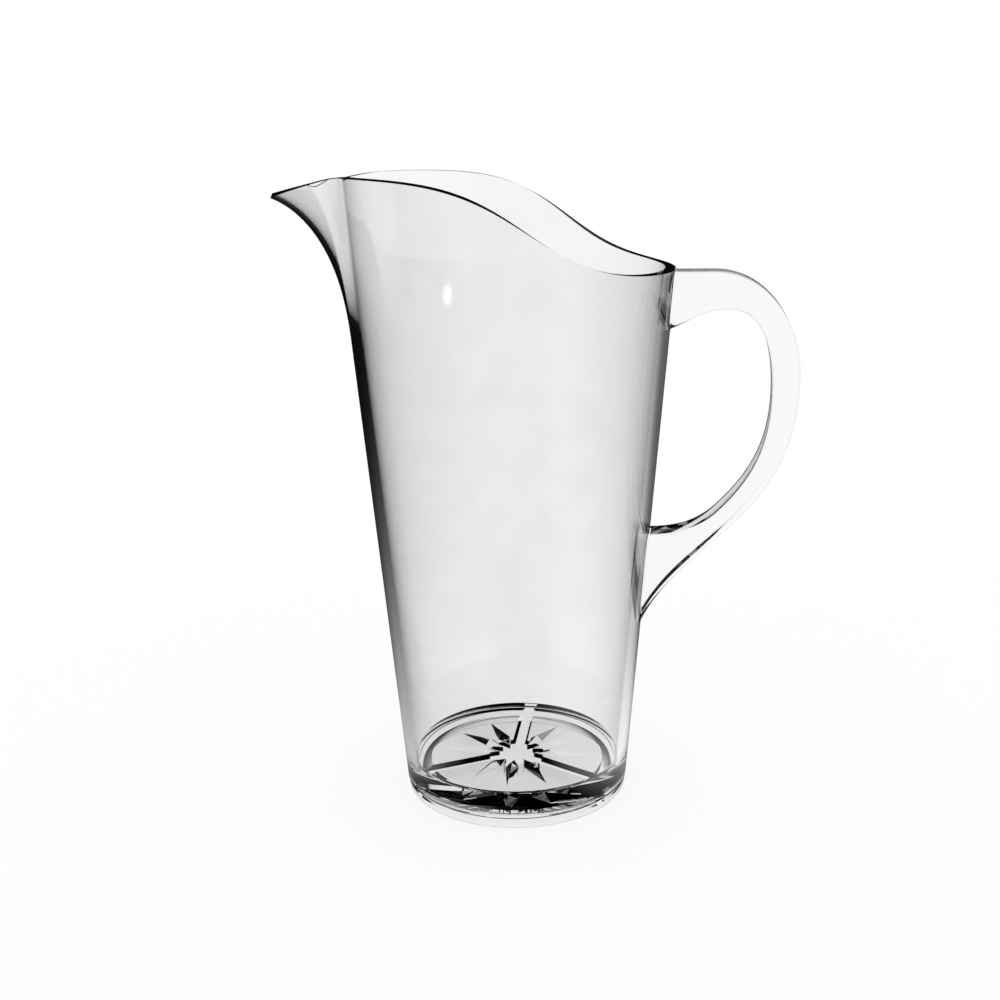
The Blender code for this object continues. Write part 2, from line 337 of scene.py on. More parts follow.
@dataclass(frozen=True)
class ClearPlastic:
    """A clear, neutral, polished moulded plastic.

    Haze and tint follow one noise. The names in capitals say how fine the noises are and
    at which values the haze and the tint start and end.

    Attributes:
        slot: The record's slot that the finish belongs to.
        index: How strongly the plastic bends light.
        tint: Brightness that is left after light passes a face.
        haze: Roughness of the cloudiest spots; the clearest spots have none.
        haze_scale: Fineness of the haze, per metre.
        ripple: Height of the moulding's faint flow ripples.
        ripple_scale: Fineness of the ripples, per metre.
        ripple_stretch: How much longer the ripples are along Z than across.
    """

    HAZE_DETAIL = 4.0
    HAZE_START = 0.45
    HAZE_FULL = 0.8
    TINT_START = 0.3
    TINT_END = 0.7
    RIPPLE_DETAIL = 2.0

    slot: Slot
    index: float
    tint: float
    haze: float
    haze_scale: float
    ripple: float
    ripple_scale: float
    ripple_stretch: float

    def material(self, bond: BondMask) -> Material:
        """Build the finish as a node material on Object coordinates.

        Args:
            bond: Gives the socket that is 1 where the piece is bonded to another one, so
                that light goes straight on into it.

        Returns:
            The material.
        """
        made = bpy.data.materials.new(self.slot.value)
        made.use_nodes = True
        nodes = made.node_tree.nodes
        links = made.node_tree.links
        shader = nodes["Principled BSDF"]
        shader.inputs["Metallic"].default_value = 0.0
        shader.inputs["Transmission Weight"].default_value = 1.0
        shader.inputs["IOR"].default_value = self.index

        place = nodes.new("ShaderNodeTexCoord")
        cloud = nodes.new("ShaderNodeTexNoise")
        cloud.inputs["Scale"].default_value = self.haze_scale
        cloud.inputs["Detail"].default_value = self.HAZE_DETAIL
        links.new(place.outputs["Object"], cloud.inputs["Vector"])

        haze = nodes.new("ShaderNodeMapRange")
        haze.inputs["From Min"].default_value = self.HAZE_START
        haze.inputs["From Max"].default_value = self.HAZE_FULL
        haze.inputs["To Min"].default_value = 0.0
        haze.inputs["To Max"].default_value = self.haze
        links.new(cloud.outputs["Fac"], haze.inputs["Value"])
        links.new(haze.outputs["Result"], shader.inputs["Roughness"])

        tint = nodes.new("ShaderNodeValToRGB")
        tint.color_ramp.elements[0].position = self.TINT_START
        tint.color_ramp.elements[0].color = (self.tint, self.tint, self.tint, 1.0)
        tint.color_ramp.elements[1].position = self.TINT_END
        tint.color_ramp.elements[1].color = (1.0, 1.0, 1.0, 1.0)
        links.new(cloud.outputs["Fac"], tint.inputs["Fac"])
        links.new(tint.outputs["Color"], shader.inputs["Base Color"])

        grain = nodes.new("ShaderNodeMapping")
        grain.inputs["Scale"].default_value = (1.0, 1.0, 1.0 / self.ripple_stretch)
        links.new(place.outputs["Object"], grain.inputs["Vector"])
        flow = nodes.new("ShaderNodeTexNoise")
        flow.inputs["Scale"].default_value = self.ripple_scale
        flow.inputs["Detail"].default_value = self.RIPPLE_DETAIL
        links.new(grain.outputs["Vector"], flow.inputs["Vector"])
        bump = nodes.new("ShaderNodeBump")
        bump.inputs["Strength"].default_value = 1.0
        bump.inputs["Distance"].default_value = self.ripple
        links.new(flow.outputs["Fac"], bump.inputs["Height"])
        links.new(bump.outputs["Normal"], shader.inputs["Normal"])

        film = nodes.new("ShaderNodeBsdfTransparent")
        links.new(tint.outputs["Color"], film.inputs["Color"])
        joint = nodes.new("ShaderNodeMixShader")
        links.new(bond(NodeMaths(made.node_tree)), joint.inputs["Fac"])
        links.new(shader.outputs["BSDF"], joint.inputs[1])
        links.new(film.outputs["BSDF"], joint.inputs[2])
        links.new(joint.outputs["Shader"], nodes["Material Output"].inputs["Surface"])
        return made


def dress(obj: Object, piece: Piece, finish: ClearPlastic, bond: BondMask) -> Object:
    """Give a modelled piece its finish and its place in the frame.

    Args:
        obj: The modelled piece.
        piece: The solid that it stands for.
        finish: Its finish.
        bond: Where the piece is bonded to another one.

    Returns:
        The piece.
    """
    obj.data.materials.clear()
    obj.data.materials.append(finish.material(bond))
    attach(obj, ROOT_BODY)
    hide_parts(piece.value)
    LOG.info("%s: %d faces", obj.name, len(obj.data.polygons))
    return obj


@dataclass
class WallForm:
    """Sizes of the tapered wall, its wave rim and its pouring lip."""

    foot_radius: float = 46.3 * MM
    taper: float = math.radians(4.8)
    thickness: float = 4.2 * MM
    bottom: float = 4.5 * MM
    bond_gap: float = 0.3 * MM
    contact: float = 0.05 * MM
    rim_low: float = 216.4 * MM
    rim_rise: float = 36.5 * MM
    rim_fall_angle: float = math.radians(103.0)
    rim_fall_spread: float = math.radians(24.0)
    lip_height: float = 60.8 * MM
    lip_reach: float = 26.9 * MM
    lip_half_angle: float = math.radians(33.0)
    lip_thickness: float = 2.0 * MM
    lip_dip: float = 8.6 * MM
    lip_swell: float = 1.8
    lip_roll: float = 0.336
    lip_roll_share: float = 0.95
    lip_thinning: float = 3.0

    def radius(self, height: float) -> float:
        """Return the outer radius of the wall at a height."""
        return self.foot_radius + height * math.tan(self.taper)

    def inset(self) -> float:
        """Return how far the wall's inner face lies inside its outer one, along a radius."""
        return self.thickness / math.cos(self.taper)

    def plug_radius(self, height: float) -> float:
        """Return the radius of what fills the wall at a height, a bond line inside it."""
        return self.radius(height) - self.inset() - self.bond_gap

    def end_top(self) -> float:
        """Return the height that the wall's slanting lower end reaches."""
        return self.bottom + self.thickness * math.sin(self.taper) + self.contact

    def crest(self) -> float:
        """Return the height of the rim's crest."""
        return self.rim_low + self.rim_rise

    def lip_share(self, angle: float) -> float:
        """Return how much of the lip is felt at an angle from its middle, from 1 to 0."""
        if angle >= self.lip_half_angle:
            return 0.0
        return math.cos(0.5 * math.pi * angle / self.lip_half_angle) ** 2

    def rim_height(self, angle: float) -> float:
        """Return the height of the rim's outer edge at an angle from the lip's middle."""
        wave = 0.5 + 0.5 * math.tanh((self.rim_fall_angle - angle) / self.rim_fall_spread)
        return self.rim_low + self.rim_rise * wave - self.lip_dip * self.lip_share(angle)

    def lip_rise(self, angle: float, height: float) -> float:
        """Return the way up the lip at an angle and a height, from 0 to 1."""
        start = self.crest() - self.lip_height
        rise = (height - start) / (self.rim_height(angle) - start)
        return min(max(rise, 0.0), 1.0)

    def lip_offset(self, angle: float, height: float) -> float:
        """Return how far the lip pulls the wall towards -X.

        Args:
            angle: Angle from the lip's middle, in radians.
            height: Height on the wall.

        Returns:
            The pull, in metres.
        """
        curl = self.lip_curl(self.lip_rise(angle, height)) / self.lip_curl(1.0)
        return self.lip_reach * self.lip_share(angle) * curl

    def lip_curl(self, rise: float) -> float:
        """Return how far the lip's roll has come at a way up the lip."""
        return 1.0 - (1.0 - (self.lip_roll_share * rise) ** self.lip_swell) ** self.lip_roll

    def fullness(self, angle: float, height: float) -> float:
        """Return how much of its full thickness the wall keeps, 1, or 0 at the lip's edge."""
        thinned = min(self.lip_thinning * self.lip_share(angle), 1.0)
        return 1.0 - thinned * self.lip_rise(angle, height)

    def beyond(self, maths: NodeMaths) -> NodeSocket:
        """Return a socket with how far a point lies outside the wall's outer cone.

        Args:
            maths: Arithmetic on the material's node tree.

        Returns:
            The socket.
        """
        across, along, height = maths.place()
        cone = maths.do("MULTIPLY_ADD", height, math.tan(self.taper), self.foot_radius)
        return maths.do("SUBTRACT", maths.length(across, along), cone)


@dataclass
class BodyShell:
    """The tapered wall with its wave rim and pouring lip."""

    form: WallForm
    finish: ClearPlastic
    base: "StarBase"
    handle: "StrapHandle"
    columns: int = 288
    rows: int = 72
    column_crowding: float = 0.55
    row_crowding: float = 2.2
    edge_round: float = 0.9 * MM
    edge_steps: int = 5
    edge_angle: float = math.radians(50.0)
    sharp_angle: float = math.radians(30.0)

    def angle(self, turn: float) -> float:
        """Return the angle from the lip's middle at a way round, with columns close at the lip."""
        return math.pi * abs(turn) - self.column_crowding * math.sin(math.pi * abs(turn))

    def outer_point(self, turn: float, climb: float) -> Vector:
        """Return a point of the wall's outer face.

        Args:
            turn: Way round from the lip, from -1 to 1.
            climb: Way up from the lower edge to the rim, from 0 to 1.

        Returns:
            The point.
        """
        angle = self.angle(turn)
        share = 1.0 - (1.0 - climb) ** self.row_crowding
        bottom = self.form.bottom
        height = bottom + (self.form.rim_height(angle) - bottom) * share
        radius = self.form.radius(height)
        across = -radius * math.cos(angle) - self.form.lip_offset(angle, height)
        return Vector((across, math.copysign(radius * math.sin(angle), turn), height))

    def tube(self) -> Object:
        """Model the outer face as an open tube drawn up to the rim and out to the lip.

        Returns:
            The tube, one face thick.
        """
        bottom = self.form.bottom
        height = self.form.crest() - bottom
        deselect_all()
        bpy.ops.mesh.primitive_cylinder_add(
            vertices=self.columns,
            radius=self.form.radius(self.form.crest()),
            depth=height,
            end_fill_type="NOTHING",
            location=(0.0, 0.0, bottom + 0.5 * height),
        )
        tube = named("clear_tapered_wall")
        settle(tube)
        select_edges(tube, lambda low, high: abs(low.z - high.z) > 0.5 * height)
        bpy.ops.mesh.subdivide(number_cuts=self.rows - 1)
        bpy.ops.object.mode_set(mode="OBJECT")
        full_wall = tube.vertex_groups.new(name="full_wall")
        for vert in tube.data.vertices:
            turn = math.atan2(vert.co.y, -vert.co.x) / math.pi
            climb = (vert.co.z - bottom) / height
            vert.co = self.outer_point(turn, min(max(climb, 0.0), 1.0))
            full_wall.add([vert.index], self.form.fullness(self.angle(turn), vert.co.z), "REPLACE")
        return tube

    def bonded(self, maths: NodeMaths) -> NodeSocket:
        """Return a socket that is 1 where the base and the handle are bonded to the wall.

        Args:
            maths: Arithmetic on the material's node tree.

        Returns:
            The socket.
        """
        beyond = self.form.beyond(maths)
        _, along, height = maths.place()
        low = self.form.bottom + self.edge_round
        inside = maths.do("LESS_THAN", beyond, self.form.contact - self.form.inset())
        plug = maths.do("MULTIPLY", inside, maths.between(height, low, self.base.bond_top()))
        end = maths.do("LESS_THAN", height, self.form.end_top())
        end = maths.do("MULTIPLY", end, maths.do("LESS_THAN", beyond, -self.edge_round))
        base = maths.do("MAXIMUM", plug, end)
        outside = maths.do("GREATER_THAN", beyond, -self.form.contact)
        total = base
        for root_low, root_high in self.handle.roots():
            root = self.footprint(maths, along, height, root_low, root_high)
            total = maths.do("MAXIMUM", total, maths.do("MULTIPLY", outside, root))
        right = maths.do("GREATER_THAN", maths.place()[0], 0.0)
        return maths.do("MULTIPLY", total, maths.do("MAXIMUM", right, base))

    def footprint(
        self,
        maths: NodeMaths,
        along: NodeSocket,
        height: NodeSocket,
        low: float,
        high: float,
    ) -> NodeSocket:
        """Return a socket that is 1 inside the round-cornered outline of a handle's root.

        Args:
            maths: Arithmetic on the material's node tree.
            along: The point's place across the handle.
            height: The point's height.
            low: Height of the root's lower edge.
            high: Height of the root's upper edge.

        Returns:
            The socket.
        """
        corner = self.handle.edge_round
        half_width = 0.5 * self.handle.width - corner
        half_height = 0.5 * (high - low) - corner
        level = maths.do("SUBTRACT", height, 0.5 * (low + high))
        sideways = maths.do("SUBTRACT", maths.do("ABSOLUTE", along), half_width)
        upwards = maths.do("SUBTRACT", maths.do("ABSOLUTE", level), half_height)
        sideways = maths.do("MAXIMUM", sideways, 0.0)
        upwards = maths.do("MAXIMUM", upwards, 0.0)
        return maths.do("LESS_THAN", maths.squares(sideways, upwards), corner * corner)

    def build(self) -> Object:
        """Model, finish and place the wall.

        Returns:
            The piece.
        """
        shell = self.tube()
        wall = shell.modifiers.new("wall", "SOLIDIFY")
        wall.thickness = self.form.thickness
        wall.offset = -1.0
        wall.use_even_offset = True
        wall.vertex_group = "full_wall"
        wall.thickness_vertex_group = self.form.lip_thickness / self.form.thickness
        apply_modifier(shell, wall)
        round_edges(shell, self.edge_round, self.edge_steps, self.edge_angle)
        polish_shading(shell, self.sharp_angle)
        return dress(shell, Piece.WALL, self.finish, self.bonded)


@dataclass
class StarBase:
    """The thick base: floor, plug, foot ring and the star cut into its underside."""

    form: WallForm
    finish: ClearPlastic
    foot_step: float = 0.6 * MM
    foot_height: float = 4.2 * MM
    floor_height: float = 15.4 * MM
    edge_round: float = 0.8 * MM
    edge_steps: int = 4
    edge_angle: float = math.radians(50.0)
    pocket_margin: float = 1.5 * MM
    pocket_flare: float = 4.0 * MM
    pocket_depth: float = 5.4 * MM
    hub_radius: float = 11.6 * MM
    spoke_count: int = 3
    spoke_root_width: float = 6.0 * MM
    spoke_tip_width: float = 4.0 * MM
    rays_per_sector: int = 3
    ray_inner_radius: float = 7.4 * MM
    ray_waist_radius: float = 14.6 * MM
    ray_tip_radius: float = 32.5 * MM
    ray_waist_width: float = 6.4 * MM
    ray_depth_share: float = 0.55
    ray_fit: float = 0.95
    overlap: float = 0.3 * MM
    steps: int = 192
    sharp_angle: float = math.radians(24.0)

    def blank(self) -> Object:
        """Model the uncut base: a foot disc with the plug drawn up out of it.

        Returns:
            The blank.
        """
        foot = self.form.radius(self.foot_height) - self.foot_step
        plug = self.form.plug_radius(self.foot_height)
        top = self.form.plug_radius(self.floor_height)
        deselect_all()
        bpy.ops.mesh.primitive_cylinder_add(
            vertices=self.steps,
            radius=foot,
            depth=self.foot_height,
            end_fill_type="NGON",
            location=(0.0, 0.0, 0.5 * self.foot_height),
        )
        blank = named("clear_star_base")
        settle(blank)
        select_faces(blank, lambda face: face.normal.z > LOOKS_UP)
        bpy.ops.mesh.inset(thickness=foot - plug)
        bpy.ops.mesh.extrude_region_move(
            TRANSFORM_OT_translate={"value": (0.0, 0.0, self.floor_height - self.foot_height)}
        )
        bpy.ops.transform.resize(
            value=(top / plug, top / plug, 1.0), center_override=(0.0, 0.0, self.floor_height)
        )
        bpy.ops.object.mode_set(mode="OBJECT")
        round_edges(blank, self.edge_round, self.edge_steps, self.edge_angle)
        return blank

    def bond_top(self) -> float:
        """Return the height that the bond between plug and wall reaches."""
        return self.floor_height - self.edge_round

    def bonded(self, maths: NodeMaths) -> NodeSocket:
        """Return a socket that is 1 where light goes straight on out of the base.

        That is on the plug's side and the foot's upper face, which are bonded to the wall,
        and on the face that the pitcher stands on.

        Args:
            maths: Arithmetic on the material's node tree.

        Returns:
            The socket.
        """
        depth = self.form.inset() + self.form.bond_gap + self.form.contact
        side = maths.do("GREATER_THAN", self.form.beyond(maths), -depth)
        low = self.foot_height + 2.0 * self.edge_round
        height = maths.place()[2]
        under = self.foot_height - self.form.contact
        over = self.foot_height + self.form.contact
        plug = maths.between(height, low, self.bond_top())
        joined_side = maths.do("MAXIMUM", plug, maths.between(height, under, over))
        standing = maths.do("LESS_THAN", height, self.form.contact)
        return maths.do("MAXIMUM", maths.do("MULTIPLY", side, joined_side), standing)

    def span(self) -> float:
        """Return the angle from one spoke to the next."""
        return 2.0 * math.pi / self.spoke_count

    def sector_outline(self, height: float) -> list[Vector]:
        """Return the outline of the sunken sector after the first spoke.

        It runs round the foot from one spoke to the next, in along that spoke and back
        along the hub, whose edge is notched where each ray starts.

        Args:
            height: The height that the outline is taken at.

        Returns:
            The points of the outline.
        """
        draft = (self.spoke_root_width - self.spoke_tip_width) / self.pocket_depth
        half_spoke = 0.5 * (self.spoke_tip_width + draft * height)
        flare = self.pocket_flare * height / self.pocket_depth
        radius = self.form.plug_radius(self.foot_height) - self.pocket_margin - flare
        hub = self.hub_radius
        span = self.span()
        start = math.asin(half_spoke / radius)
        sweep = span - 2.0 * start
        steps = self.steps // self.spoke_count
        outline = [polar(radius, start + sweep * i / steps, height) for i in range(steps + 1)]
        outline.append(polar(hub, span - math.asin(half_spoke / hub), height))
        taper = (hub - self.ray_inner_radius) / (self.ray_waist_radius - self.ray_inner_radius)
        half_notch = math.asin(0.5 * self.ray_waist_width * taper / hub)
        for index in range(self.rays_per_sector, 0, -1):
            middle = span * index / (self.rays_per_sector + 1)
            outline.append(polar(hub, middle + half_notch, height))
            outline.append(polar(self.ray_inner_radius, middle, height))
            outline.append(polar(hub, middle - half_notch, height))
        outline.append(polar(hub, math.asin(half_spoke / hub), height))
        return outline

    def spoke_angles(self) -> list[float]:
        """Return the directions of the spokes, the first one square to the handle."""
        return [0.5 * math.pi + self.span() * i for i in range(self.spoke_count)]

    def ray_angles(self) -> list[float]:
        """Return the directions of the rays between the spokes."""
        shares = [i / (self.rays_per_sector + 1) for i in range(1, self.rays_per_sector + 1)]
        return [spoke + self.span() * share for spoke in self.spoke_angles() for share in shares]

    def sectors(self) -> Object:
        """Model the cutter of all sunken sectors: one sector, drawn up and copied round.

        Returns:
            The cutter.
        """
        below = self.sector_outline(-self.overlap)
        above = self.sector_outline(self.pocket_depth)
        deselect_all()
        bpy.ops.mesh.primitive_circle_add(
            vertices=len(below), radius=self.hub_radius, fill_type="NGON"
        )
        sector = named("sector_cutter")
        for vert, point in zip(sector.data.vertices, below):
            vert.co = point
        select_faces(sector, lambda face: True)
        lift = {"value": (0.0, 0.0, self.pocket_depth)}
        bpy.ops.mesh.extrude_region_move(TRANSFORM_OT_translate=lift)
        bpy.ops.object.mode_set(mode="OBJECT")
        lifted = [vert for vert in sector.data.vertices if vert.co.z > 0.0]
        for vert in lifted:
            nearest = min(range(len(below)), key=lambda i: (below[i].xy - vert.co.xy).length)
            vert.co = above[nearest]
        select_faces(sector, lambda face: len(face.vertices) == QUAD_CORNERS)
        bpy.ops.mesh.quads_convert_to_tris()
        bpy.ops.object.mode_set(mode="OBJECT")
        face_outwards(sector)
        return joined(turned_copies(sector, self.spoke_angles()))

    def rays(self) -> Object:
        """Model the cutter of all rays: one kite that peaks at its waist, copied round.

        Returns:
            The cutter.
        """
        depth = self.ray_depth_share * (self.floor_height - self.pocket_depth)
        waist = Vector((self.ray_waist_radius, 0.0, self.pocket_depth - self.overlap))
        corners = (
            Vector((self.ray_tip_radius - self.ray_waist_radius, 0.0, 0.0)),
            Vector((0.0, 0.5 * self.ray_waist_width, 0.0)),
            Vector((self.ray_inner_radius - self.ray_waist_radius, 0.0, 0.0)),
            Vector((0.0, -0.5 * self.ray_waist_width, 0.0)),
        )
        deselect_all()
        bpy.ops.mesh.primitive_cone_add(vertices=len(corners), radius1=1.0, radius2=0.0, depth=1.0)
        ray = named("ray_cutter")
        for vert in ray.data.vertices:
            if vert.co.z > 0.0:
                vert.co = waist + Vector((0.0, 0.0, depth + self.overlap))
            else:
                quarter = round(math.atan2(vert.co.y, vert.co.x) / (0.5 * math.pi)) % len(corners)
                vert.co = waist + self.ray_fit * corners[quarter]
        face_outwards(ray)
        return joined(turned_copies(ray, self.ray_angles()))

    def build(self) -> Object:
        """Model, finish and place the base.

        Returns:
            The piece.
        """
        base = self.blank()
        cut_away(base, self.sectors())
        cut_away(base, self.rays())
        polish_shading(base, self.sharp_angle)
        return dress(base, Piece.BASE, self.finish, self.bonded)


@dataclass
class StrapHandle:
    """The solid strap that loops from the low side of the rim to the lower wall."""

    form: WallForm
    finish: ClearPlastic
    width: float = 17.0 * MM
    edge_round: float = 3.0 * MM
    round_limit: float = 0.45
    sink: float = 9.0 * MM
    top_drop: float = 0.6 * MM
    pull: float = 0.39
    upper_root_height: float = 24.0 * MM
    upper_root_rise: float = 0.2
    crown_reach: float = 14.6 * MM
    crown_thickness: float = 14.2 * MM
    crown_stagger: float = 5.5 * MM
    finger_gap: float = 41.0 * MM
    grip_height: float = 172.4 * MM
    grip_thickness: float = 10.3 * MM
    grip_stagger: float = 3.0 * MM
    arm_reach: float = 34.5 * MM
    arm_rise: float = 45.9 * MM
    arm_thickness: float = 8.4 * MM
    arm_lean: float = math.radians(37.0)
    lower_root_bottom: float = 69.2 * MM
    lower_root_height: float = 42.5 * MM
    lower_tip_sink: float = 2.0 * MM
    lower_tip_lean: float = 0.39
    strap_steps: int = 36
    corner_steps: int = 8
    side_steps: int = 3
    saddle_steps: int = 384
    sharp_angle: float = math.radians(30.0)

    def edge(self, stations: Iterable[tuple[Vector, Vector]]) -> list[Vector]:
        """Return points along a smooth edge.

        Args:
            stations: Points that the edge passes, each with its direction there.

        Returns:
            The points.
        """
        listed = list(stations)
        points = [listed[0][0]]
        for (start, out_way), (end, in_way) in zip(listed, listed[1:]):
            pull = self.pull * (end - start).length
            first = start + out_way.normalized() * pull
            second = end - in_way.normalized() * pull
            points.extend(interpolate_bezier(start, first, second, end, self.strap_steps + 1)[1:])
        return points

    def top(self) -> float:
        """Return the height of the strap's upper edge at the wall."""
        return self.form.rim_low - self.top_drop

    def outer_edge(self) -> list[Vector]:
        """Return the strap's outer edge, from the upper root round to the lower one."""
        top = self.top()
        wall = self.form.radius(top)
        lower = self.form.radius(self.lower_root_bottom)
        grip = self.form.radius(self.grip_height) + self.finger_gap + self.grip_thickness
        arm_height = self.lower_root_bottom + self.arm_rise
        return self.edge((
            (Vector((wall - self.sink, 0.0, top)), Vector((1.0, 0.0, 0.0))),
            (Vector((wall + self.crown_reach, 0.0, top)), Vector((1.0, 0.0, 0.0))),
            (Vector((grip, 0.0, self.grip_height + self.grip_stagger)), Vector((0.0, 0.0, -1.0))),
            (Vector((lower + self.arm_reach, 0.0, arm_height)), Vector((-1.0, 0.0, -1.0))),
            (
                Vector((lower - self.lower_tip_sink, 0.0, self.lower_root_bottom)),
                Vector((-self.lower_tip_lean, 0.0, -1.0)),
            ),
        ))

    def inner_edge(self) -> list[Vector]:
        """Return the strap's inner edge, from the upper root round to the lower one."""
        top = self.top()
        wall = self.form.radius(top)
        lower = self.form.radius(self.lower_root_bottom)
        grip = self.form.radius(self.grip_height) + self.finger_gap
        crown = wall + self.crown_reach + self.crown_stagger
        arm = Vector((lower + self.arm_reach, 0.0, self.lower_root_bottom + self.arm_rise))
        across = Vector((-math.sin(self.arm_lean), 0.0, math.cos(self.arm_lean)))
        root_top = self.lower_root_bottom + self.lower_root_height
        return self.edge((
            (
                Vector((wall - self.sink, 0.0, top - self.upper_root_height)),
                Vector((1.0, 0.0, self.upper_root_rise)),
            ),
            (Vector((crown, 0.0, top - self.crown_thickness)), Vector((1.0, 0.0, 0.0))),
            (Vector((grip, 0.0, self.grip_height - self.grip_stagger)), Vector((0.0, 0.0, -1.0))),
            (arm + self.arm_thickness * across, Vector((-1.0, 0.0, -1.0))),
            (Vector((lower - self.sink, 0.0, root_top)), Vector((-1.0, 0.0, 0.0))),
        ))

    def roots(self) -> tuple[tuple[float, float], tuple[float, float]]:
        """Return the heights that the lower and the upper root span on the wall."""
        top = self.top()
        upper = top - self.upper_root_height + self.upper_root_rise * self.sink
        lower = self.lower_root_bottom + self.lower_tip_sink / self.lower_tip_lean
        return (lower, self.lower_root_bottom + self.lower_root_height), (upper, top)

    def saddle_gap(self) -> float:
        """Return how far the saddles lie outside the wall, along a radius."""
        return self.form.bond_gap / math.cos(self.form.taper)

    def bonded(self, maths: NodeMaths) -> NodeSocket:
        """Return a socket that is 1 on both saddles, which are bonded to the wall."""
        reach = self.saddle_gap() + self.form.contact
        return maths.do("LESS_THAN", self.form.beyond(maths), reach)

    def section(self, inner: Vector, outer: Vector) -> list[Vector]:
        """Return the round-cornered outline of the strap between two points of its edges.

        Args:
            inner: Point of the inner edge.
            outer: Point of the outer edge.

        Returns:
            The points of the outline, the first one repeated at its end.
        """
        depth = (outer - inner).length
        outward = (outer - inner).normalized()
        sideways = Vector((0.0, 1.0, 0.0))
        middle = 0.5 * (inner + outer)
        radius = min(self.edge_round, self.round_limit * depth, self.round_limit * self.width)
        corners = []
        for quarter, (out_sign, side_sign) in enumerate(((1, 1), (-1, 1), (-1, -1), (1, -1))):
            centre = middle + outward * (out_sign * (0.5 * depth - radius))
            centre = centre + sideways * (side_sign * (0.5 * self.width - radius))
            for step in range(self.corner_steps + 1):
                angle = 0.5 * math.pi * (quarter + step / self.corner_steps)
                way = outward * math.cos(angle) + sideways * math.sin(angle)
                corners.append(centre + radius * way)
        outline = []
        for index, point in enumerate(corners):
            following = corners[(index + 1) % len(corners)]
            outline.append(point)
            if index % (self.corner_steps + 1) == self.corner_steps:
                for step in range(1, self.side_steps):
                    outline.append(point.lerp(following, step / self.side_steps))
        outline.append(outline[0].copy())
        return outline

    def strap(self) -> Object:
        """Model the strap as a sheet that is wrapped round its two edges and capped.

        Returns:
            The strap, with both ends still inside the wall's space.
        """
        rings = [self.section(near, far) for near, far in zip(self.inner_edge(), self.outer_edge())]
        around = len(rings[0])
        deselect_all()
        bpy.ops.mesh.primitive_grid_add(
            x_subdivisions=len(rings) - 1, y_subdivisions=around - 1, size=2.0
        )
        strap = named("clear_strap_handle")
        for vert in strap.data.vertices:
            station = round(0.5 * (vert.co.x + 1.0) * (len(rings) - 1))
            step = round(0.5 * (vert.co.y + 1.0) * (around - 1))
            vert.co = rings[station][step]
        activate(strap)
        bpy.ops.object.mode_set(mode="EDIT")
        bpy.ops.mesh.select_all(action="SELECT")
        bpy.ops.mesh.remove_doubles(threshold=MERGE_DISTANCE)
        bpy.ops.mesh.select_mode(type="EDGE")
        bpy.ops.mesh.select_all(action="DESELECT")
        bpy.ops.mesh.select_non_manifold(extend=False)
        bpy.ops.mesh.edge_face_add()
        bpy.ops.object.mode_set(mode="OBJECT")
        face_outwards(strap)
        return strap

    def wall_space(self) -> Object:
        """Model the space that the wall and its bond line take up.

        Returns:
            The cutter of both saddles.
        """
        gap = self.saddle_gap()
        top = self.form.crest()
        deselect_all()
        bpy.ops.mesh.primitive_cone_add(
            vertices=self.saddle_steps,
            radius1=self.form.radius(0.0) + gap,
            radius2=self.form.radius(top) + gap,
            depth=top,
            location=(0.0, 0.0, 0.5 * top),
        )
        space = named("wall_space_cutter")
        settle(space)
        return space

    def build(self) -> Object:
        """Model, finish and place the handle.

        Returns:
            The piece.
        """
        handle = self.strap()
        cut_away(handle, self.wall_space())
        polish_shading(handle, self.sharp_angle)
        return dress(handle, Piece.HANDLE, self.finish, self.bonded)


